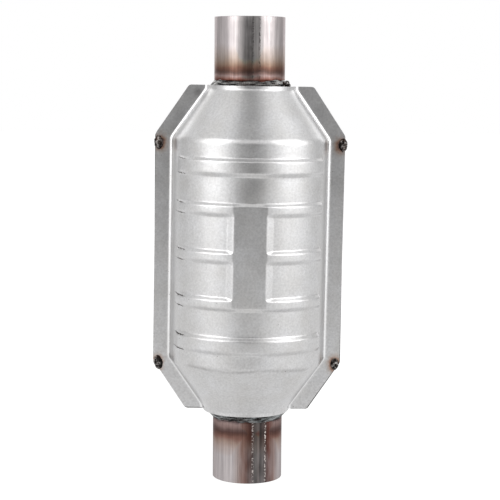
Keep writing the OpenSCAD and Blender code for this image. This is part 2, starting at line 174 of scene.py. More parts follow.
class StageSettings(bpy.types.PropertyGroup):
    """Camera and studio light."""

    camera_back: length("Camera distance", "From the pipe axis to the camera", 1.1)
    camera_side: length("Camera side", "How far right of the axis the camera stands", 1.133 * MM)
    camera_high: length("Camera height", "Height of the camera above the floor", 298.6 * MM)
    camera_pitch: turn("Camera pitch", "How far the camera looks down", 6.787)
    camera_roll: turn("Camera roll", "Turn of the camera about its view", 0.401)
    camera_azimuth: turn("Camera azimuth", "Turn of the camera about the pipe axis", -1)
    lens: number("Lens", "Focal length in millimetres", 109.5, min=1)
    lobe: number("Softboxes", "Radiance of the front softboxes", 2.6, min=0)
    front_card: number("Front card", "Grey of the front card", 0.05, min=0)
    over_card: number("Top card", "Grey of the top card", 0.3, min=0)
    side_card: number("Side cards", "Grey of the side cards", 0.78, min=0)
    ambient: number("Ambient", "Level of the white tent's light", 0.6, min=0)


# Numbers and arrays


def spread(places, counts):
    """Places joined by evenly spaced stretches, each with its own number of steps."""
    stretches = zip(places, places[1:], counts)
    parts = [np.linspace(a, b, steps, endpoint=False) for a, b, steps in stretches]
    return np.append(np.concatenate(parts), places[-1])


def bent(corners, radii, steps=6):
    """Rounds a path's inner corners with arcs.

    An arc's points are its centre plus the radius swung evenly from the tangent point on one
    leg to that on the other, by sin(turn (1 - t)) and sin(turn t) over sin(turn).
    """
    corners = [np.array(corner, float) for corner in corners]
    path = [corners[0][None]]
    t = np.linspace(0, 1, steps + 1)[:, None]
    for before, corner, after, radius in zip(corners, corners[1:], corners[2:], radii):
        a = (before - corner) / np.linalg.norm(before - corner)
        b = (after - corner) / np.linalg.norm(after - corner)
        half = math.acos(a @ b) / 2
        swing = math.pi - 2 * half
        centre = corner + (a + b) / np.linalg.norm(a + b) * radius / math.sin(half)
        start = corner + a * radius / math.tan(half) - centre
        end = corner + b * radius / math.tan(half) - centre
        arc = start * np.sin(swing * (1 - t)) + end * np.sin(swing * t)
        path.append(centre + arc / math.sin(swing))
    path.append(corners[-1][None])
    return np.concatenate(path)


def divided(path, step):
    """Adds points to a path so that no two are further apart than the step."""
    gaps = np.linalg.norm(np.diff(path, axis=0), axis=1)
    counts = np.maximum(1, np.ceil(gaps / step)).astype(int)
    at = np.concatenate([[0], np.cumsum(counts)])
    places = np.arange(at[-1] + 1)
    return np.stack([np.interp(places, at, path[:, k]) for k in range(path.shape[1])], axis=1)


def smooth(t):
    """Rises from 0 at t = 0 to 1 at t = 1, level at both ends: 3 t^2 - 2 t^3."""
    t = np.clip(t, 0, 1)
    return t * t * (3 - 2 * t)


def bump_at(x, middle, width):
    """A bell of height 1 at the middle: exp of minus the square of the distance over the width."""
    return np.exp(-(((x - middle) / width) ** 2))


def wander(theta, seed, low=2, high=14):
    """A wavy line round a circle: a sum of sines of low to high whole turns, weaker as they
    get finer, with seeded phases. It stays within about 1."""
    phases = np.random.default_rng(seed).uniform(0, 2 * math.pi, high - low + 1)
    turns = np.arange(low, high + 1)
    weight = 1 / turns**0.6
    waves = np.sin(np.multiply.outer(theta, turns) + phases) * weight
    return waves.sum(axis=-1) / np.sqrt((weight**2).sum())


def lumps(points, size, seed, count=12):
    """An uneven field in space within about 1: a sum of sine waves of about the given length,
    each in its own seeded direction, over 3.5, which is about the root of their count."""
    rng = np.random.default_rng(seed)
    ways = rng.normal(size=(3, count))
    ways *= 2 * math.pi / size / np.linalg.norm(ways, axis=0) * rng.uniform(0.6, 1.5, count)
    return np.sin(points @ ways + rng.uniform(0, 2 * math.pi, count)).sum(axis=-1) / 3.5


# Meshes


def quads(index):
    """The quads between neighbouring rows and columns of a grid of vertex numbers."""
    corners = [index[:-1, :-1], index[:-1, 1:], index[1:, 1:], index[1:, :-1]]
    return np.stack(corners, axis=-1).reshape(-1, 4)


def ring_faces(rows, columns):
    """Faces of a grid that closes round its columns and round its rows."""
    index = np.arange(rows * columns).reshape(rows, columns)
    index = np.concatenate([index, index[:, :1]], axis=1)
    return [quads(np.concatenate([index, index[:1]]))]


def outward(vertices, faces):
    """Turns the faces round if the closed mesh's signed volume is negative. The volume is the
    sum of a . (b x c) / 6 over the triangles of every face."""
    volume = 0
    for group in faces:
        a = vertices[group[:, 0]]
        for k in range(1, group.shape[1] - 1):
            b, c = vertices[group[:, k]], vertices[group[:, k + 1]]
            volume += np.einsum("ij,ij->", a, np.cross(b, c))
    return faces if volume > 0 else [group[:, ::-1] for group in faces]


def add_piece(name, vertices, faces, material, values=None, sharp=50):
    """Makes a closed, smooth mesh of groups of faces with per-vertex values, on the root body,
    in place of the CAD node of its name. Edges of more than sharp degrees stay sharp."""
    faces = outward(vertices, faces)
    loops = np.concatenate([group.ravel() for group in faces])
    sides = np.concatenate([np.full(len(group), group.shape[1]) for group in faces])
    mesh = bpy.data.meshes.new(name)
    mesh.vertices.add(len(vertices))
    mesh.vertices.foreach_set("co", vertices.astype(np.float32).ravel())
    mesh.loops.add(len(loops))
    mesh.loops.foreach_set("vertex_index", loops.astype(np.int32))
    mesh.polygons.add(len(sides))
    mesh.polygons.foreach_set("loop_start", (np.cumsum(sides) - sides).astype(np.int32))
    mesh.update(calc_edges=True)
    if mesh.validate():
        raise RuntimeError(f"{name} has faces that do not hold")
    mesh.shade_smooth()
    mesh.set_sharp_from_angle(angle=math.radians(sharp))
    for key, value in (values or {}).items():
        layer = mesh.attributes.new(key, "FLOAT", "POINT")
        layer.data.foreach_set("value", value.astype(np.float32).ravel())
    mesh.materials.append(material)
    piece = bpy.data.objects.new(name, mesh)
    bpy.context.scene.collection.objects.link(piece)
    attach(piece, BODY)
    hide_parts(name)


# Materials


def feed(tree, node, inputs):
    """Sets or links a node's inputs, given in order or by name or number. Each is a plain
    value, another node's output, or another node for its first output."""
    for key, value in inputs.items() if isinstance(inputs, dict) else enumerate(inputs):
        if isinstance(value, bpy.types.Node):
            value = value.outputs[0]
        if isinstance(value, bpy.types.NodeSocket):
            tree.links.new(value, node.inputs[key])
        else:
            node.inputs[key].default_value = value


def add_node(tree, kind, inputs=(), stops=(), **settings):
    """Adds a shader node with its settings and links. Stops are a colour ramp's places from 0
    to 1, each with its sRGB hex colour."""
    node = tree.nodes.new("ShaderNode" + kind)
    for key, value in settings.items():
        setattr(node, key, value)
    feed(tree, node, inputs)
    if stops:
        points = node.color_ramp.elements
        while len(points) < len(stops):
            points.new(0.5)
        for point, (place, code) in zip(points, stops):
            point.position = place
            point.color = linear(code)
    return node


def start_material(name, **surface):
    """A new material with its shader's own sockets set. Gives it, its tree and the output that
    holds the place on the piece."""
    material = bpy.data.materials.new(name)
    material.use_nodes = True
    tree = material.node_tree
    sockets = {key.replace("_", " "): value for key, value in surface.items()}
    feed(tree, tree.nodes["Principled BSDF"], sockets)
    return material, tree, add_node(tree, "TexCoord").outputs["Object"]


def finish_material(material, base, layers, gloss, *bumps):
    """Lays colours over the base colour and links the shader. A layer is the way it mixes, its
    share and its colour, as sRGB hex, a setting or an output; a bump is a height and its depth
    in metres, and each bump starts from the one before it."""
    tree = material.node_tree
    for way, share, tone in layers:
        # The two colours are inputs 6 and 7 of a Mix node, and its colour output is 2
        inputs = {0: share, 6: base, 7: linear(tone) if isinstance(tone, str) else tone}
        base = add_node(tree, "Mix", inputs, data_type="RGBA", blend_type=way).outputs[2]
    sockets = {"Base Color": base, "Roughness": gloss}
    for height, depth in bumps:
        inputs = {"Height": height, "Distance": depth, "Strength": 1.0}
        if "Normal" in sockets:
            inputs["Normal"] = sockets["Normal"]
        sockets["Normal"] = add_node(tree, "Bump", inputs)
    feed(tree, tree.nodes["Principled BSDF"], sockets)
    return material


def mottle(tree, place, size, low, high, detail=2.0, rough=0.5, stretch=(1, 1, 1)):
    """A cloudy pattern of the given grain size in metres, which runs from low to high."""
    scaled = add_node(tree, "VectorMath", (place, stretch), operation="MULTIPLY")
    noise = add_node(
        tree, "TexNoise",
        {"Vector": scaled, "Scale": 1 / size, "Detail": detail, "Roughness": rough},
    )
    return add_node(
        tree, "MapRange",
        {"Value": noise, "From Min": NOISE_LOW, "From Max": NOISE_HIGH, "To Min": low,
         "To Max": high},
    )


def aluminised_sheet(settings):
    """Hot-dipped aluminised steel sheet, drawn in a press: a satin white-grey metal with a fine
    spangle, slightly wavy after drawing, rubbed black where the tool galled it, and straw to
    blue where the flange welds heated it. Painted shade darkens its cut edges and the left ends
    of its ribs, and a painted highlight lightens its root bend."""
    material, tree, place = start_material("aluminised_pressed_steel", Metallic=1.0)
    temper, scuff_and_edge_shade, grime_and_shade, painted_highlight = (
        add_node(tree, "Attribute", attribute_name=mark).outputs["Fac"] for mark in MARKS
    )
    cloud = mottle(tree, place, 16 * MM, 0, 1, detail=4)
    # Spangle of the coating, 0.5 mm in truth and drawn at 1.4 mm so that it shows as grain
    spangle = mottle(tree, place, 1.4 * MM, 0, 1, rough=0.6)
    # Temper colours beside the nuggets, from bare sheet through straw and brown to blue
    ragged = mottle(tree, place, 2.5 * MM, -0.07, 0.07)
    tint = add_node(
        tree, "ValToRGB", (add_node(tree, "Math", (temper, ragged), operation="ADD"),),
        stops=(
            (0.08, "#ffffff"), (0.26, "#efe4dd"), (0.44, "#cfaa96"), (0.58, "#7a6663"),
            (0.8, "#2c2a2c"),
        ),
    )
    # Black streaks of galled metal at the ribs' ends, torn into dashes by the noise, and painted
    # shade that is black along the inner face's cut edges
    streak = mottle(tree, place, 1.4 * MM, -0.4, 0.4, stretch=(0.45, 1, 1.6))
    black = add_node(tree, "Math", (scuff_and_edge_shade, streak), operation="ADD")
    black = add_node(tree, "Math", (black, scuff_and_edge_shade), operation="MULTIPLY")
    black = add_node(tree, "MapRange", {"Value": black, "From Min": 0.2, "From Max": 0.5})
    patchy = mottle(tree, place, 3 * MM, 0.4, 0.8, detail=3)  # how much the grime and the painted shade show
    # Specks of dust and spatter, about one to the square centimetre
    cells = add_node(tree, "TexVoronoi", {"Vector": place, "Scale": 1 / (7 * MM)})
    speck = add_node(
        tree, "MapRange",
        {"Value": cells.outputs["Distance"], "From Min": 0.055, "From Max": 0.03, "To Max": 0.7},
    )
    chance = add_node(tree, "SeparateColor", (cells.outputs["Color"],))
    chosen = add_node(tree, "Math", (chance, 0.6), operation="GREATER_THAN")
    # How much the grain, the dirt and painted shade, the painted highlight along the root bend and
    # the specks show
    grainy, dirt_and_shade, bright, dusty = (
        add_node(tree, "Math", pair, operation="MULTIPLY")
        for pair in ((spangle, 0.34), (grime_and_shade, patchy), (painted_highlight, 0.45), (speck, chosen))
    )
    layers = (
        ("MIX", cloud, settings.worn), ("MIX", grainy, "#8a8989"), ("MULTIPLY", 1.0, tint),
        ("MIX", black, "#433f3d"), ("MIX", dirt_and_shade, "#716e6d"), ("MIX", bright, "#f2f2f2"),
        ("MIX", dusty, "#4a4039"),
    )
    satin = mottle(tree, place, 14 * MM, 0.32, 0.37)
    gloss = add_node(tree, "Math", (black, 0.3, satin), operation="MULTIPLY_ADD")
    wave = mottle(tree, place, 24 * MM, 0, 1, detail=1)
    bumps = (wave, 0.06 * MM), (spangle, 0.011 * MM)
    return finish_material(material, settings.sheet, layers, gloss, *bumps)


def heat_tinted_tube(name, settings, azimuth, tints, stains, seam_half, fleck):
    """Seam-welded stainless exhaust tube: smooth and bright with fine lines along the tube from
    the sizing rolls, and the rainbow of temper colours that the neck weld left on it.

    The tints run from the weld over the reach of its heat. The stains run across the seam: a
    brown one fades in, then a bright rough line stands on each side of the dark band that the
    scarfing tool left, flecked along both its edges.
    """
    material, tree, place = start_material(name, Metallic=1.0, Specular_Tint=linear("#cbc8c8"))
    away = add_node(tree, "SeparateXYZ", (place,)).outputs[2]
    uneven = mottle(tree, place, 9 * MM, -0.9 * MM, 0.9 * MM)
    for operation, other in (("SUBTRACT", MIDDLE), ("ABSOLUTE", 0), ("ADD", uneven)):
        away = add_node(tree, "Math", (away, other), operation=operation)
    toe = WELD_HIGH[2] - MIDDLE
    heat = add_node(
        tree, "MapRange", {"Value": away, "From Min": toe, "From Max": toe + HEAT_REACH}
    )
    tint = add_node(tree, "ValToRGB", (heat,), stops=tints)
    lines = mottle(tree, place, 1.3 * MM, 0, 1, detail=4, rough=0.65, stretch=(1, 1, 0.03))
    # Distance across the seam: the angle from it times the tube's radius
    turned = add_node(  # turned back by the azimuth, with Y pointing to the seam
        tree, "Mapping", {"Vector": place, "Rotation": (0, 0, azimuth), "Scale": (1, -1, 1)}
    )
    flat = add_node(tree, "SeparateXYZ", (turned,)).outputs
    angle = add_node(tree, "Math", (flat[0], flat[1]), operation="ARCTAN2")
    across = add_node(tree, "Math", (angle, PIPE_HIGH[0]), operation="MULTIPLY")
    side = add_node(
        tree, "MapRange", {"Value": across, "From Min": -SEAM_REACH, "From Max": SEAM_REACH}
    )
    stain = add_node(tree, "ValToRGB", (side,), stops=stains)
    patchy = mottle(tree, place, 5 * MM, 0.7, 1.0, stretch=(1, 1, 0.25))
    band = add_node(
        tree, "Mix", {0: patchy, 6: tint, 7: stain}, data_type="RGBA", blend_type="DARKEN"
    ).outputs[2]
    # Flecks of spatter where the distance from the band's edges is near zero
    gap = across
    for operation, other in (("ABSOLUTE", 0), ("SUBTRACT", seam_half), ("ABSOLUTE", 0)):
        gap = add_node(tree, "Math", (gap, other), operation=operation)
    edge = add_node(tree, "MapRange", {"Value": gap, "From Min": 0.9 * MM, "From Max": 0.1 * MM})
    dots = mottle(tree, place, 1.5 * MM, -1.0, 1.3)
    for operation, other in (("MAXIMUM", 0), ("MULTIPLY", edge)):
        dots = add_node(tree, "Math", (dots, other), operation=operation)
    flecked = add_node(tree, "Math", (dots, 0.6), operation="MINIMUM")  # never fully covering
    layers = ("MIX", lines, "#948e8f"), ("MULTIPLY", 1.0, band), ("MIX", flecked, fleck)
    gloss = mottle(tree, place, 5 * MM, 0.29, 0.37)
    bumps = (lines, 0.02 * MM), (dots, 0.07 * MM)
    return finish_material(material, settings.steel, layers, gloss, *bumps)


def weld_metal(name, bright, dark, grain, gloss, stretch=(1, 1, 1), low=-0.6):
    """Arc weld metal, cooled in air: rippled, rough and brown-black with oxide, with patches of
    bare silvery metal."""
    material, tree, place = start_material(name, Metallic=1.0)
    bare = mottle(tree, place, grain, low, 1.2, detail=4, rough=0.6, stretch=stretch)
    rust = mottle(tree, place, 3 * grain, -0.25, 0.25)
    layers = ("MIX", bare, bright), ("MIX", rust, "#4b3226")
    skin = mottle(tree, place, 0.5 * grain, 0, 1)
    satin = mottle(tree, place, grain, *gloss)
    return finish_material(material, dark, layers, satin, (skin, 0.08 * MM))


def oxidised_stainless():
    """Pressed and rolled stainless sheet that has seen heat: dull grey-brown, faintly streaked."""
    material, tree, place = start_material("oxidised_stainless_sheet", Metallic=1.0)
    layers = (("MIX", mottle(tree, place, 12 * MM, 0, 1, detail=4), "#7a6e66"),)
    satin, skin = mottle(tree, place, 4 * MM, 0.32, 0.45), mottle(tree, place, 0.7 * MM, 0, 1)
    return finish_material(material, linear("#9a928c"), layers, satin, (skin, 0.01 * MM))


def cordierite(settings):
    """Extruded and fired cordierite with a tan alumina washcoat: matt, faintly gritty."""
    material, tree, place = start_material("washcoated_cordierite", IOR=1.55)
    layers = (("MIX", mottle(tree, place, 7 * MM, 0, 0.6, detail=3), "#94805f"),)
    matt, grit = mottle(tree, place, 2 * MM, 0.8, 0.95), mottle(tree, place, 0.3 * MM, 0, 1)
    return finish_material(material, settings.ceramic, layers, matt, (grit, 0.02 * MM))


def ceramic_fibre_mat():
    """Vermiculite mat of ceramic fibre: off-white felt with gold-brown flakes."""
    material, tree, place = start_material("ceramic_fibre_mat", IOR=1.5)
    felt = mottle(tree, place, 1.2 * MM, 0, 1, detail=4, stretch=(1, 1, 3))
    flake = add_node(tree, "TexVoronoi", {"Vector": place, "Scale": 1 / (2.2 * MM)})
    gold = add_node(
        tree, "MapRange", {"Value": flake.outputs["Distance"], "From Min": 0.3, "From Max": 0.15}
    )
    layers = ("MIX", felt, "#bcb29d"), ("MIX", gold, "#9c7f4d")
    matt = mottle(tree, place, 1 * MM, 0.85, 1.0)
    return finish_material(material, linear("#dcd6c8"), layers, matt, (felt, 0.3 * MM))


def knitted_wire():
    """Knitted stainless wire, 0.25 mm thick and pressed to a ring: loops drawn as two crossing
    sets of waves, 1 mm apart, a little coarser than real."""
    material, tree, place = start_material("knitted_stainless_wire", Metallic=1.0)
    sets = []
    for tilt in (0.7, -0.7):
        turned = add_node(tree, "Mapping", {"Vector": place, "Rotation": (tilt, 0.3, tilt)})
        wave = {"Vector": turned, "Scale": 0.31 / (1 * MM), "Distortion": 1.5}
        sets.append(add_node(tree, "TexWave", wave).outputs["Fac"])
    wires = add_node(tree, "Math", sets, operation="MAXIMUM")
    satin = mottle(tree, place, 2 * MM, 0.3, 0.45)
    layers = (("MIX", wires, "#b4b0ab"),)
    return finish_material(material, linear("#3a3735"), layers, satin, (wires, 0.25 * MM))


# The heat shield

# Angles round the shield from its front, in radians: where the sides start to be drawn in and
# over what angle, where the die line ends and over what angle, and a limit past the ladder
OVAL_START, OVAL_SPAN = 0.8, 0.7
LINE_END, LINE_FADE = 1.1, 0.3
FAR_SWING = 1.2


def rib_share(s, t):
    """Share of its full height that a slope has, against the distance t from the crest's edge
    in slope widths. The section is two level stretches and a straight slope with rounded
    corners."""
    slope = s.rib_slope
    path = bent(
        [(-2 * slope, s.rib_h), (0, s.rib_h), (slope, 0), (3 * slope, 0)],
        [s.rib_edge, s.rib_edge],
    )
    return np.interp(t * slope, path[:, 0], path[:, 1]) / s.rib_h


def ladder_steps(s, x, z):
    """Distance from the ladder's crest, in slope widths, with the pads' corners rounded.

    With a as 1 minus the bars' distance and b as 1 minus the strip's, it is 1 minus the p-th
    root of a^p + b^p: the smaller distance, with a fillet where the two meet.
    """
    crest = s.bar_w / 2 - s.rib_slope
    bars = np.stack([np.abs(z - k * s.bar_pitch) - crest for k in (-1, 0, 1)]).min(axis=0)
    a = np.clip(1 - bars / s.rib_slope, 0, None)
    b = np.clip(1 - (np.abs(x) - s.strip_half) / s.strip_slope, 0, None)
    b = np.where(np.abs(z) < s.bar_pitch, b, 0)
    power = 3
    return 1 - (a**power + b**power) ** (1 / power)


def shield_places(s):
    """How far the ribs' middles and the flanges' corners are from the shield's middle, and how
    far out the ribs and the flanges reach."""
    rib_z = s.shoulder_z - s.rib_back - s.rib_w / 2
    return rib_z, s.shoulder_z + s.flange_over, s.shell_r - s.rib_short, s.shell_r + s.flange_w


def shield_rows(s, half):
    """Heights of the shield's rows about its middle: close together on the slopes of the bars
    and ribs and on the bends above them."""
    rib_z, flange_z, _, _ = shield_places(s)
    bar, slope = s.bar_w / 2, s.rib_slope
    soft = 0.6 * MM  # the rows stay close this far past a slope
    places = [0, bar - slope - soft, bar + soft]
    for middle, foot in ((s.bar_pitch, bar), (rib_z, s.rib_w / 2)):
        places += [
            middle - foot - soft, middle - foot + slope + soft,
            middle + foot - slope - soft, middle + foot + soft,
        ]
    shoulder = [s.shoulder_z - 0.4 * s.shoulder_bend, flange_z + 2 * MM]
    places += [*shoulder, half - s.collar_len - 2 * MM, half]
    rows = (3, 9, 9, 9, 3, 9, 7, 9, 5, 9, 4, 11, 14, 11)
    up = spread(places, rows)
    return np.concatenate([-up[:0:-1], up])[:, None]


def shield_outer(s, half):
    """Outer face of a front half shield about its own middle, as rows up and columns across.

    Each row is a section: the shell's arc x = r sin(q), y = -r cos(q) in the middle, then the
    concave root bend that touches arc and flange, then the flat flange out to its edge. The
    radius r follows the bent profile in z plus the ribs' height. The sides are drawn in: x is
    cut by the oval share, which comes in smoothly from OVAL_START on.
    """
    collar_z = half - s.collar_len
    profile = bent(
        [(0, s.shell_r), (s.shoulder_z, s.shell_r), (collar_z, s.collar_r), (half, s.collar_r)],
        [s.shoulder_bend, s.collar_bend],
        steps=12,
    )
    rib_z, flange_z, rib_end, flange_x = shield_places(s)
    edge = bent(
        [(0, flange_x), (flange_z, flange_x), (half, s.collar_r + s.flange_end_w),
         (half, s.collar_r)],
        [2 * s.flange_corner, s.flange_corner],
        steps=12,
    )[:-1]
    z = shield_rows(s, half)
    radius = np.interp(np.abs(z), profile[:, 0], profile[:, 1])
    side = np.interp(np.abs(z), edge[:, 0], edge[:, 1])
    # Place of the root bend's centre and where it touches the shell's arc
    centre_y = s.wall + s.root_bend
    centre_x = np.sqrt((radius + s.root_bend) ** 2 - centre_y**2)
    touch = np.arctan2(centre_x, centre_y)
    # Columns of the right half: close together on the strip's slope and at the ribs' ends
    places = [s.strip_half - MM, s.strip_half + s.strip_slope + MM, rib_end - 3 * MM, rib_end + MM]
    shares = [math.asin(x / s.shell_r) / touch.max() for x in places]
    swing = touch * spread([0, *shares, 1], (6, 12, 18, 9, 8))
    x = radius * np.sin(swing)
    # The ladder's crest is flat across the strip, at radius strip_y / cos(q), and round beyond
    crown = s.shell_r + s.rib_h
    flat_half = s.strip_half + 0.7 * MM
    strip_y = math.sqrt(crown**2 - flat_half**2)
    crest = np.minimum(crown, strip_y / np.cos(np.minimum(swing, FAR_SWING)))
    height = rib_share(s, ladder_steps(s, x, z)) * (crest - s.shell_r)
    from_rib = np.abs(np.abs(z) - rib_z) - s.rib_w / 2
    height += s.rib_h * rib_share(s, from_rib / s.rib_slope + 1)
    height *= smooth((rib_end - x) / s.rib_fade)
    # A faint wavy line where the dies met at the lower shoulder, gone towards the sides
    line_z = 0.3 * MM - s.shoulder_z + 0.6 * MM * np.sin(9 * swing)
    height -= s.die_line * bump_at(z, line_z, 1.2 * MM) * smooth((LINE_END - swing) / LINE_FADE)
    drawn_in = 1 - s.oval * smooth((swing - OVAL_START) / OVAL_SPAN)
    reach = radius + height
    shell = np.stack([reach * np.sin(swing) * drawn_in, -reach * np.cos(swing)])
    # Nine points round the root bend, then thirteen across the flange, closer at its edge
    down = touch * (1 - np.linspace(0, 1, 10)[1:])
    foot_x = centre_x * (1 - s.oval)
    root = np.stack([foot_x - s.root_bend * np.sin(down), s.root_bend * np.cos(down) - centre_y])
    out = spread((0, 0.85, 1), (10, 3))[1:]
    flange = np.stack([foot_x + (side - foot_x) * out, -s.wall + 0 * side * out])
    right = np.concatenate([shell, root, flange], axis=2)
    left = right[:, :, :0:-1] * np.array([-1, 1])[:, None, None]
    plan = np.concatenate([left, right], axis=2)
    return np.stack([plan[0], plan[1], z + 0 * plan[0]], axis=-1)


def shield_marks(s, half, outer):
    """Per-vertex marks on the shield, each built of bells of the distance from its own place."""
    x, y, z = np.moveaxis(outer, -1, 0)
    rib_z, flange_z, rib_end, flange_x = shield_places(s)
    # Temper beside the nuggets, which falls off with distance
    high, low = flange_z - 7 * MM, -flange_z - 1.5 * MM
    across, reach, taller = flange_x - 3.5 * MM, 4.6 * MM, 0.75
    temper = np.zeros_like(x)
    for side, level, force in ((-1, high, 0.7), (1, high, 0.65), (-1, low, 0.6), (1, low, 0.8)):
        gap = np.hypot(x - side * across, (z - level) * taller)
        temper = np.maximum(temper, force * bump_at(gap, 0, reach))
    # Scuff: dashes that the press galled at the left ends of the ribs' and bars' slopes, each
    # falling a little to the right, and blacker further down
    raised = [(rib_z, s.rib_w), (-rib_z, s.rib_w)]
    raised += [(k * s.bar_pitch, s.bar_w) for k in (-1, 0, 1)]
    fallen = z + 0.12 * (x + rib_end)
    scuff_and_edge_shade = np.zeros_like(x)
    for level in [mid + way * (wide - s.rib_slope) / 2 for mid, wide in raised for way in (1, -1)]:
        force = 0.64 + 0.3 * (0.5 - level / (2 * half))
        mark = bump_at(x, 3.2 * MM - rib_end, 5.4 * MM) * bump_at(fallen, level, 0.8 * MM)
        scuff_and_edge_shade = np.maximum(scuff_and_edge_shade, force * mark)
    # Grime and painted shade: a smear of grime high on the left flange, a darker line where the
    # dies
    #     met at the lower shoulder, and painted shade down the left ends of the ribs
    smear = bump_at(x, -38.5 * MM, 2.6 * MM) * bump_at(z, half - 5.5 * MM, 3 * MM)
    line = bump_at(z, 0.3 * MM - s.shoulder_z + 0.8 * MM * np.sin(x / (9 * MM)), 1.0 * MM)
    line *= smooth((46 * MM - np.abs(x)) / (8 * MM)) * (0.6 + 0.4 * np.cos(x / (12 * MM)) ** 2)
    on_rib = np.abs(np.abs(z) - rib_z) < (s.rib_w - s.rib_slope) / 2
    rib_end_shade = bump_at(x, MM - rib_end, 0.9 * MM) * on_rib
    grime_and_shade = np.maximum.reduce([1.1 * smear, 0.6 * line, 0.5 * rib_end_shade])
    # Painted highlight: a light line along the root bend, where the bend catches the light
    painted_highlight = bump_at(y, -s.wall - 0.45 * MM, 0.5 * MM) * smooth((-s.wall - y) / (0.2 * MM))
    painted_highlight *= np.abs(x) > s.collar_r - 6 * MM
    return dict(zip(MARKS, (temper, scuff_and_edge_shade, grime_and_shade, painted_highlight)))


def add_half_shield(s, name, half, place, material):
    """One half of the shield: the outer face, the inner face one sheet further in along the
    normals, and the cut edges between them."""
    outer = shield_outer(s, half)
    up, across = np.gradient(outer, axis=0), np.gradient(outer, axis=1)
    normal = np.cross(across, up)
    normal /= np.linalg.norm(normal, axis=2, keepdims=True)
    inner = outer - s.wall * normal
    inner[..., 2] = np.clip(inner[..., 2], outer[..., 2].min(), outer[..., 2].max())
    edge_shade = np.ones(outer.shape[:2])  # painted shade: blackens the cut edges on their inner side
    edge_shade[2:-2, 2:-2] = 0
    marks = shield_marks(s, half, outer)
    # The inner face's scuff mark holds the painted shade along the cut edges
    values = {key: np.stack([mark, edge_shade * (key == "scuff_and_edge_shade")]) for key, mark in marks.items()}
    index = np.arange(outer[..., 0].size).reshape(outer.shape[:2])
    deep = index + index.size
    rims = (
        (index[0], deep[0]), (deep[-1], index[-1]), (deep[:, 0], index[:, 0]),
        (index[:, -1], deep[:, -1]),
    )
    faces = [quads(index), quads(deep)[:, ::-1]]
    faces += [quads(np.stack(pair))[:, ::-1] for pair in rims]
    points = np.concatenate([outer.reshape(-1, 3), inner.reshape(-1, 3)])
    points = (np.array(place.to_3x3()) @ points.T).T + np.array(place.translation)
    add_piece(name, points, faces, material, values)


class CONVERTER_OT_add_heat_shield(bpy.types.Operator):
    """Add both pressed halves of the heat shield"""

    bl_idname = "converter.add_heat_shield"
    bl_label = "Heat Shield"

    def execute(self, context):
        s = context.scene.converter_shield
        material = aluminised_sheet(s)
        low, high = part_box("heat_shield_front")
        leaning = (s.collar_r + s.flange_end_w) * math.sin(s.lean)
        half = ((high[2] - low[2]) / 2 - leaning) / math.cos(s.lean)
        for name, azimuth, lean, drop in (
            ("heat_shield_front", 0, s.lean, 0),
            ("heat_shield_rear", math.pi, s.lean - s.rear_turn, s.rear_drop),
        ):
            low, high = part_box(name)
            place = Matrix.Translation((0, 0, (low[2] + high[2]) / 2 - drop))
            place = place @ Matrix.Rotation(lean, 4, "Y") @ Matrix.Rotation(azimuth, 4, "Z")
            add_half_shield(s, name, half, place, material)
        return {"FINISHED"}


# The stub pipes

# Places and colours of ramps: the tints run from the neck weld's toe over HEAT_REACH, and the
# stains across the seam from one SEAM_REACH beside it to the other
INLET_TINTS = (
    (0.0, "#8c584a"), (0.05, "#c09a8e"), (0.11, "#cdb8b2"), (0.17, "#a58c84"),
    (0.22, "#826d65"), (0.27, "#86695d"), (0.34, "#9e7c6c"), (0.44, "#c0aa96"),
    (0.6, "#dcd2c6"), (0.8, "#f1ece6"), (1.0, "#ffffff"),
)
INLET_STAINS = (
    (0.0, "#ffffff"), (0.12, "#f6f6f5"), (0.2, "#cbcdcc"), (0.3, "#b2b6b5"),
    (0.38, "#c6c9c8"), (0.43, "#b0b4b2"), (0.47, "#bcc0be"), (0.51, "#c6cac8"),
    (0.54, "#bbbfbd"), (0.58, "#e2e5e4"), (0.64, "#f4f4f3"), (1.0, "#ffffff"),
)
OUTLET_TINTS = (
    (0.0, "#9c8c8a"), (0.06, "#c9b4ae"), (0.14, "#b8a19b"), (0.22, "#8f7a75"),
    (0.31, "#7b605a"), (0.38, "#8e6d62"), (0.47, "#b38d80"), (0.58, "#d8c2b3"),
    (0.74, "#f2e6de"), (1.0, "#ffffff"),
)
OUTLET_STAINS = (
    (0.0, "#ffffff"), (0.1, "#dccfc8"), (0.19, "#b08f82"), (0.27, "#8c675b"),
    (0.34, "#56382f"), (0.38, "#584b48"), (0.42, "#686a67"), (0.5, "#8d8986"),
    (0.515, "#4e4e4c"), (0.6, "#605b59"), (0.62, "#4e403c"), (0.64, "#5a3830"),
    (0.7, "#84564c"), (0.8, "#bfa59c"), (1.0, "#ffffff"),
)


def pipe_wall_path(s, radius, bore):
    """Closed section of a pipe's wall as radius and distance from the free end. It is sized
    down from the weld's toe inwards, and the saw cut's edges are broken."""
    long, toe = PIPE_HIGH[2] - PIPE_LOW[2], TOTAL - WELD_HIGH[2]
    sized, broken = radius - s.sizing, 0.3 * MM
    corners = [(sized, long), (sized, toe + 0.2 * MM), (radius, toe), (radius, 0), (bore, 0),
               (bore, long)]
    return divided(bent(corners, [0.1 * MM, 0.1 * MM, broken, broken], steps=4), 4 * MM)


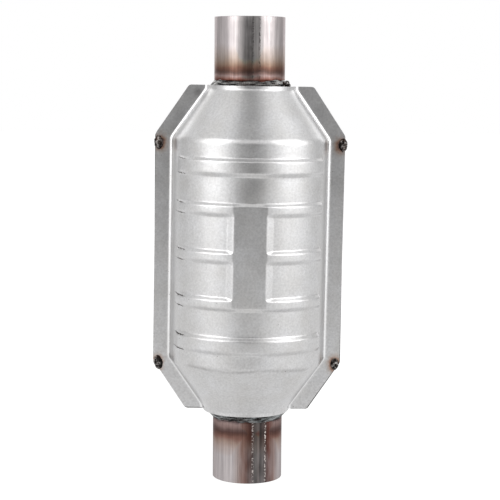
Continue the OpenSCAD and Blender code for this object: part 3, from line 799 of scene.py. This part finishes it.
def add_pipe(s, name, seam, at_top, material):
    """A tube: its wall's section carried round the axis. Outside, the radius is cut to the flat
    (radius - depth) / cos(angle from the seam); inside, a low bead follows the seam."""
    radius = PIPE_HIGH[0]
    bore = radius - s.wall
    path = pipe_wall_path(s, radius, bore)
    section, down = path[:, :1], path[:, 1:]
    near = 24  # degrees each side of the seam in which the points stand closer
    around = np.radians(spread((-180, -near, near, 180), (40, 80, 40)))[:-1]
    flat = (radius - s.seam_depth) / np.cos(np.clip(around, -1, 1))
    full_size = section > radius - 0.05 * MM
    bead_h, bead_w, bead_start = 0.3 * MM, 0.9 * MM, 0.5 * MM
    bead = bead_h * bump_at(around * bore, 0, bead_w) * (down > bead_start)
    r = np.where(section > (radius + bore) / 2, section, section - bead)
    r = np.where(full_size, np.minimum(section, flat), r)
    azimuth = around + seam
    z = TOTAL - down if at_top else down
    points = np.stack([r * np.sin(azimuth), -r * np.cos(azimuth), z + 0 * r], axis=-1)
    add_piece(name, points.reshape(-1, 3), ring_faces(*r.shape), material, sharp=35)


class CONVERTER_OT_add_stub_pipes(bpy.types.Operator):
    """Add the inlet and outlet stub pipes"""

    bl_idname = "converter.add_stub_pipes"
    bl_label = "Stub Pipes"

    def execute(self, context):
        s = context.scene.converter_pipe
        for name, azimuth, at_top, *looks in (
            ("inlet", s.inlet_seam, True, INLET_TINTS, INLET_STAINS, s.seam_half / 2, "#2e2a29"),
            ("outlet", s.outlet_seam, False, OUTLET_TINTS, OUTLET_STAINS, s.seam_half, "#e6dcd7"),
        ):
            tube = heat_tinted_tube("heat_tinted_tube_" + name, s, azimuth, *looks)
            add_pipe(s, name + "_pipe", azimuth, at_top, tube)
        return {"FINISHED"}


# The welds


def add_neck_weld(s, name, at_top, seed, material):
    """A rippled bead round the neck. Its section runs from the pipe over the crown to the cone
    and back underneath; crescent ripples raise it by a wave whose phase lags towards the
    edges, and its toes wander up and down the pipe."""
    pipe_r = PIPE_HIGH[0]
    widest = pipe_r + s.rise
    top, foot = WELD_HIGH[2] - MIDDLE, WELD_LOW[2] - MIDDLE
    neck = top - s.leg
    crown = bent(
        [(pipe_r - 0.4 * MM, top), (pipe_r + 0.6 * s.rise, neck), (widest, neck - 2 * MM),
         (widest - 1.3 * MM, foot)],
        [3 * MM, 1.2 * MM],
        steps=7,
    )
    crown = divided(crown, 0.6 * MM)
    points_round, ripple_h, swell_h, toe_h = 640, 0.16 * MM, 0.35 * MM, 0.55 * MM
    around = np.linspace(0, 2 * math.pi, points_round, endpoint=False)
    t = np.linspace(0, 1, len(crown))[:, None]
    count = round(2 * math.pi * widest / s.ripple)
    phase = around * count + 2.2 * (2 * t - 1) ** 2 + 1.5 * wander(around, seed, 3, 30)
    ripple = ripple_h * (np.sin(phase) + 0.35 * np.sin(2 * phase)) * np.sin(math.pi * t) ** 0.5
    swell = swell_h * wander(around, seed + 1) * np.sin(math.pi * t)
    r = crown[:, :1] + ripple + swell
    z = crown[:, 1:] + toe_h * wander(around, seed + 2, 3, 24) * (1 - t)
    under = np.array([[foot], [top - MM]]) + 0 * around
    r = np.concatenate([r, pipe_r - 2 * MM + 0 * under])
    z = np.concatenate([z, under])
    z = MIDDLE + z if at_top else MIDDLE - z
    points = np.stack([r * np.sin(around), -r * np.cos(around), z], axis=-1)
    add_piece(name, points.reshape(-1, 3), ring_faces(*r.shape), material, sharp=80)


def add_blob(name, line, radii, flatten, rough, seed, material):
    """A lump of weld metal: drops strung on a short line and melted together.

    Along the line, the lump's radius is the p-norm of the drops' own circles. Each ring of
    points round the line is flattened towards it, and seeded lumps push the skin in and out.
    """
    rings, points_round, power = 31, 40, 5
    line = np.array(line)
    start, end = line[0], line[-1]
    way = (end - start) / np.linalg.norm(end - start)
    along = (line - start) @ way
    low, high = along[0] - radii[0], along[-1] + radii[-1]
    s = (low + high) / 2 - (high - low) / 2 * np.cos(np.linspace(0, math.pi, rings + 2)[1:-1])
    circles = np.sqrt(np.clip(np.square(radii)[:, None] - (s - along[:, None]) ** 2, 0, None))
    radius = (circles**power).sum(axis=0) ** (1 / power)
    side = np.cross(way, (0, 1, 0))
    side /= np.linalg.norm(side)
    front = np.cross(way, side)
    around = np.linspace(0, 2 * math.pi, points_round, endpoint=False)[:, None]
    ring = np.cos(around) * side + flatten * np.sin(around) * front
    points = start + s[:, None, None] * way + radius[:, None, None] * ring
    poles = start + np.array([[low], [high]]) * way
    points = np.concatenate([points.reshape(-1, 3), poles])
    out = points - points.mean(axis=0)
    out /= np.linalg.norm(out, axis=1, keepdims=True)
    skin = lumps(points, 2.6 * MM, seed) + 0.5 * lumps(points, 1.1 * MM, seed + 1)
    points += rough * skin[:, None] * out
    index = np.arange(rings * points_round).reshape(rings, points_round)
    index = np.concatenate([index, index[:, :1]], axis=1)
    first = np.full(points_round, index.max() + 1)
    caps = [
        np.stack([first, index[0, 1:], index[0, :-1]], axis=1),
        np.stack([first + 1, index[-1, :-1], index[-1, 1:]], axis=1),
    ]
    add_piece(name, points, [quads(index), *caps], material, sharp=80)


class CONVERTER_OT_add_neck_welds(bpy.types.Operator):
    """Add the rippled welds between the pipes and the end cones"""

    bl_idname = "converter.add_neck_welds"
    bl_label = "Neck Welds"

    def execute(self, context):
        s = context.scene.converter_weld
        for name, at_top, seed, bright in (
            ("inlet", True, 3, s.bead), ("outlet", False, 8, s.sooty)
        ):
            bead = weld_metal(
                name + "_oxidised_bead", bright, linear("#0e0f10"), 1.6 * MM, (0.25, 0.45),
                stretch=(0.2, 0.2, 1),
            )
            add_neck_weld(s, name + "_neck_weld", at_top, seed, bead)
        return {"FINISHED"}


class CONVERTER_OT_add_nuggets(bpy.types.Operator):
    """Add the weld nuggets on the flanges and the tack on the upper collar"""

    bl_idname = "converter.add_nuggets"
    bl_label = "Weld Nuggets"

    def execute(self, context):
        s = context.scene.converter_weld
        burnt = weld_metal(
            "burnt_weld_nugget", linear("#96928f"), s.burnt, 2.4 * MM, (0.18, 0.32), low=-1.0
        )
        # Each nugget's drops are strung down the middle of its node's box, thinner at the ends
        for seed, name, drops, slant in (
            (20, "upper_left", 4, 0), (23, "upper_right", 4, 0), (26, "lower_left", 5, 0.12),
            (29, "lower_right", 3, 0),
        ):
            node = "flange_weld_" + name
            low, high = (np.array(corner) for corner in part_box(node))
            z = np.linspace(low[2] + s.nugget_r, high[2] - s.nugget_r, 2 * drops)
            share = np.linspace(-0.5, 0.5, 2 * drops)
            x = (low[0] + high[0]) / 2 - slant * (high[2] - low[2]) * share
            radii = 0.9 * s.nugget_r * (1.05 - 0.8 * share**2)
            line = np.stack([x, 0 * z, z], axis=1)
            add_blob(node, line, radii, 0.95, 0.2 * MM, seed, burnt)
        middle = np.mean(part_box("collar_tack"), axis=0)
        way = 1.1 * MM * np.array([math.cos(s.tack_azimuth), math.sin(s.tack_azimuth), 0])
        line = [middle - way, middle, middle + way]
        radii = [s.tack_r * share for share in (0.72, 0.9, 0.75)]
        add_blob("collar_tack", line, radii, 0.8, 0.35 * MM, 51, burnt)
        return {"FINISHED"}


# The catalyst bricks


def brick_mesh(s, radius, low, high, out_up):
    """A brick: a square patch of honeycomb cells on its outer face, a plain ring from the patch
    to the skin, the round skin and a plain inner face.

    Each cell is nine quads: four wall tops between its boundary and its mouth, four walls and
    a floor. The ring's points run from the patch's edge to the circle along straight lines.
    """
    count = round(s.patch / s.pitch)
    edge = (np.arange(count + 1) - count / 2) * s.pitch
    grid = np.arange((count + 1) ** 2).reshape(count + 1, count + 1)
    top, floor, bottom = (high, high - s.depth, low) if out_up else (low, low + s.depth, high)
    flat = np.stack([*np.meshgrid(edge, edge), 0 * grid + top], axis=-1).reshape(-1, 3)
    x, y = np.meshgrid(edge[:-1], edge[:-1])
    inset, far = s.cell_wall / 2, s.pitch - s.cell_wall / 2
    corners = ((inset, inset), (far, inset), (far, far), (inset, far))
    mouth = np.stack([np.stack([x + a, y + b, 0 * x + top], -1) for a, b in corners], 2)
    deep = mouth.copy()
    deep[..., 2] = floor
    mouth_at = len(flat) + np.arange(4 * count**2).reshape(-1, 4)
    deep_at = mouth_at + 4 * count**2
    outer = quads(grid)
    faces = []
    for k in range(4):
        n = (k + 1) % 4
        faces.append(np.stack([outer[:, k], outer[:, n], mouth_at[:, n], mouth_at[:, k]], 1))
        faces.append(np.stack([mouth_at[:, k], mouth_at[:, n], deep_at[:, n], deep_at[:, k]], 1))
    faces.append(deep_at)
    border = np.concatenate([grid[0, :-1], grid[:-1, -1], grid[-1, :0:-1], grid[:0:-1, 0]])
    around = np.arctan2(flat[border, 1], flat[border, 0])
    circle = np.stack([radius * np.cos(around), radius * np.sin(around)], axis=1)
    rim, back = (np.column_stack([circle, 0 * around + z]) for z in (top, bottom))
    hub = [[0, 0, bottom]]
    points = np.concatenate([flat, mouth.reshape(-1, 3), deep.reshape(-1, 3), rim, back, hub])
    rim_at = deep_at.max() + 1 + np.arange(len(rim))
    back_at = rim_at + len(rim)
    for a, b in ((border, rim_at), (rim_at, back_at)):
        faces.append(np.stack([b, np.roll(b, -1), np.roll(a, -1), a], axis=1))
    hub_at = np.full(len(back_at), len(points) - 1)
    faces.append(np.stack([hub_at, np.roll(back_at, -1), back_at], axis=1))
    return points, faces


class CONVERTER_OT_add_bricks(bpy.types.Operator):
    """Add both honeycomb bricks"""

    bl_idname = "converter.add_bricks"
    bl_label = "Bricks"

    def execute(self, context):
        s = context.scene.converter_catalyst
        ceramic = cordierite(s)
        for name, out_up in (("inlet_brick", True), ("outlet_brick", False)):
            low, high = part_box(name)
            points, faces = brick_mesh(s, high[0], low[2], high[2], out_up)
            add_piece(name, points, faces, ceramic, sharp=30)
        return {"FINISHED"}


# The inner can, which keeps its CAD meshes


class CONVERTER_OT_finish_inner_can(bpy.types.Operator):
    """Give the can, cones, mats and seals inside the shield their materials"""

    bl_idname = "converter.finish_inner_can"
    bl_label = "Inner Can"

    def execute(self, context):
        s = context.scene.converter_weld
        steel, felt, wire = oxidised_stainless(), ceramic_fibre_mat(), knitted_wire()
        weld = weld_metal("oxidised_can_weld", s.bead, linear("#2a2422"), 1.4 * MM, (0.3, 0.5))
        finishes = {
            "can_tube": steel, "inlet_cone": steel, "outlet_cone": steel,
            "inlet_cone_weld": weld, "outlet_cone_weld": weld,
            "inlet_mat": felt, "outlet_mat": felt,
            "inlet_outer_seal": wire, "inlet_inner_seal": wire,
            "outlet_inner_seal": wire, "outlet_outer_seal": wire,
        }
        for name, material in finishes.items():
            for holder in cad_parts[name].material_slots:
                holder.link = "OBJECT"
                holder.material = material
        return {"FINISHED"}


# The stage


def add_card(name, width, height, place, turned, material):
    """A flat card of four corners about its place, facing along its own -Y, and not part of
    the object."""
    w, h = width / 2, height / 2
    corners = np.array([(-w, 0, -h), (w, 0, -h), (w, 0, h), (-w, 0, h)])
    points = corners @ np.array(turned).T + np.array(place)
    mesh = bpy.data.meshes.new(name)
    mesh.from_pydata(points.tolist(), [], [(0, 1, 2, 3)])
    mesh.materials.append(material)
    card = bpy.data.objects.new(name, mesh)
    bpy.context.scene.collection.objects.link(card)
    return card


def empty_tree(data):
    """The cleared node tree of a new material or world."""
    data.use_nodes = True
    data.node_tree.nodes.clear()
    return data.node_tree


def grey_card(name, level):
    """Painted card that reads as one even grey in the metal, whatever the lamps do."""
    material = bpy.data.materials.new(name)
    tree = empty_tree(material)
    add_node(tree, "OutputMaterial", (add_node(tree, "Emission", {"Strength": level}),))
    return material


def seen_level(tree, level, unseen=0.0):
    """One level for rays that show the surface, from the camera, in gloss and through glass,
    and another for the rest."""
    path = add_node(tree, "LightPath").outputs
    seen = path["Is Camera Ray"]
    for ray in ("Is Glossy Ray", "Is Transmission Ray"):
        seen = add_node(tree, "Math", (seen, path[ray]), operation="ADD")
    return add_node(tree, "MapRange", {"Value": seen, "To Min": unseen, "To Max": level})


def white_floor():
    """White paper: matt, and lifted towards pure white where it is seen, so that it keeps only
    the object's faint shadow."""
    material = bpy.data.materials.new("white_paper_floor")
    tree = empty_tree(material)
    glow, share = 1.15, 0.82  # the rest of the share is paper, which carries the shadow
    paper = add_node(tree, "BsdfDiffuse", {"Color": linear("#f2f2f2")})
    lift = add_node(tree, "Emission", {"Strength": glow})
    both = add_node(tree, "MixShader", (seen_level(tree, share), paper, lift))
    add_node(tree, "OutputMaterial", (both,))
    return material


def white_tent(ambient):
    """The world: plain white where it is seen, and a lower level of light on everything."""
    world = bpy.data.worlds.new("white_tent")
    bpy.context.scene.world = world
    tree = empty_tree(world)
    level = seen_level(tree, 1.0, ambient)
    sky = add_node(tree, "Background", {"Color": linear("#ffffff"), "Strength": level})
    add_node(tree, "OutputWorld", (sky,))


def add_softbox(name, azimuth, radiance, width, height=1.7, distance=1.6, lift=0.95):
    """An area lamp that faces the object. A flat lamp's power is pi times its area times the
    radiance that it shows."""
    lamp = bpy.data.lights.new(name, "AREA")
    lamp.shape = "RECTANGLE"
    lamp.size, lamp.size_y = width, height
    lamp.energy = math.pi * width * height * radiance
    softbox = bpy.data.objects.new(name, lamp)
    softbox.location = (distance * math.sin(azimuth), -distance * math.cos(azimuth), lift)
    aim = Vector((0, 0, MIDDLE)) - softbox.location
    softbox.rotation_euler = aim.to_track_quat("-Z", "Y").to_euler()
    softbox.visible_camera = False
    bpy.context.scene.collection.objects.link(softbox)


def add_camera(s):
    """The camera: it looks along +Y, pitched down and rolled, then turned about the pipe axis."""
    data = bpy.data.cameras.new("photo_camera")
    data.lens = s.lens
    data.sensor_width = 36  # millimetres, as the lens
    camera = bpy.data.objects.new("photo_camera", data)
    place = Matrix.Translation((s.camera_side, -s.camera_back, s.camera_high))
    level = Matrix.Rotation(math.pi / 2 - s.camera_pitch, 4, "X")
    roll = Matrix.Rotation(s.camera_roll, 4, "Z")
    camera.matrix_world = Matrix.Rotation(s.camera_azimuth, 4, "Z") @ place @ level @ roll
    bpy.context.scene.collection.objects.link(camera)
    bpy.context.scene.camera = camera


class CONVERTER_OT_add_stage(bpy.types.Operator):
    """Add the camera, the floor, the white tent, the softboxes and the cards"""

    bl_idname = "converter.add_stage"
    bl_label = "Stage"

    def execute(self, context):
        s = context.scene.converter_stage
        add_camera(s)
        white_tent(s.ambient)
        level, upright = Matrix.Rotation(math.pi / 2, 3, "X"), Matrix.Identity(3)
        add_card("floor", 12, 12, (0, 0, 0), level, white_floor())
        for word, degrees, share, width in (
            ("front_left", -52, 1, 1.05), ("front_right", 60, 1, 1.25),
            ("back_left", -152, 0.37, 1), ("back_right", 152, 0.39, 1),
        ):
            add_softbox("softbox_" + word, math.radians(degrees), share * s.lobe, width)
        # Cards that only the metal mirrors: one before the object, one over it, one each side
        dark, grey = grey_card("dark_card", s.front_card), grey_card("grey_card", s.side_card)
        middling = grey_card("middling_card", s.over_card)
        cards = [
            add_card("card_front", 0.86, 0.54, (0, -1.3, 0.27), upright, dark),
            add_card("card_over", 0.8, 1.0, (0, -0.6, 2.0), level, middling),
        ]
        distance = 1.8
        for word, degrees in (("left", -117), ("right", 117)):
            azimuth = math.radians(degrees)
            place = (distance * math.sin(azimuth), -distance * math.cos(azimuth), 0.8)
            turned = Matrix.Rotation(azimuth, 3, "Z")
            cards.append(add_card("card_" + word, 1.35, 1.6, place, turned, grey))
        for card in cards:
            card.visible_camera = card.visible_diffuse = card.visible_shadow = False
        bpy.context.scene.view_settings.view_transform = "Standard"
        return {"FINISHED"}


# The add-on


class CONVERTER_PT_build(bpy.types.Panel):
    """Builds the converter piece by piece"""

    bl_label = "Catalytic Converter"
    bl_idname = "CONVERTER_PT_build"
    bl_space_type = "VIEW_3D"
    bl_region_type = "UI"
    bl_category = "Converter"

    def draw(self, context):
        for group, name in GROUPS.items():
            box = self.layout.box()
            for operator in OPERATORS[name]:
                box.operator(operator.bl_idname)
            settings = getattr(context.scene, name)
            for key in group.__annotations__:
                box.prop(settings, key)


GROUPS = {
    ShieldSettings: "converter_shield",
    PipeSettings: "converter_pipe",
    WeldSettings: "converter_weld",
    CatalystSettings: "converter_catalyst",
    StageSettings: "converter_stage",
}
OPERATORS = {
    "converter_shield": (CONVERTER_OT_add_heat_shield,),
    "converter_pipe": (CONVERTER_OT_add_stub_pipes,),
    "converter_weld": (CONVERTER_OT_add_neck_welds, CONVERTER_OT_add_nuggets),
    "converter_catalyst": (CONVERTER_OT_add_bricks, CONVERTER_OT_finish_inner_can),
    "converter_stage": (CONVERTER_OT_add_stage,),
}
CLASSES = (*GROUPS, *(kind for kinds in OPERATORS.values() for kind in kinds), CONVERTER_PT_build)


def register():
    for kind in CLASSES:
        bpy.utils.register_class(kind)
    for group, name in GROUPS.items():
        setattr(bpy.types.Scene, name, PointerProperty(type=group))


def unregister():
    for name in GROUPS.values():
        delattr(bpy.types.Scene, name)
    for kind in reversed(CLASSES):
        bpy.utils.unregister_class(kind)


def main():
    """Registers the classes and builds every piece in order."""
    register()
    converter = bpy.ops.converter
    converter.add_heat_shield()
    converter.add_stub_pipes()
    converter.add_neck_welds()
    converter.add_nuggets()
    converter.add_bricks()
    converter.finish_inner_can()
    converter.add_stage()


if __name__ == "__main__":
    main()
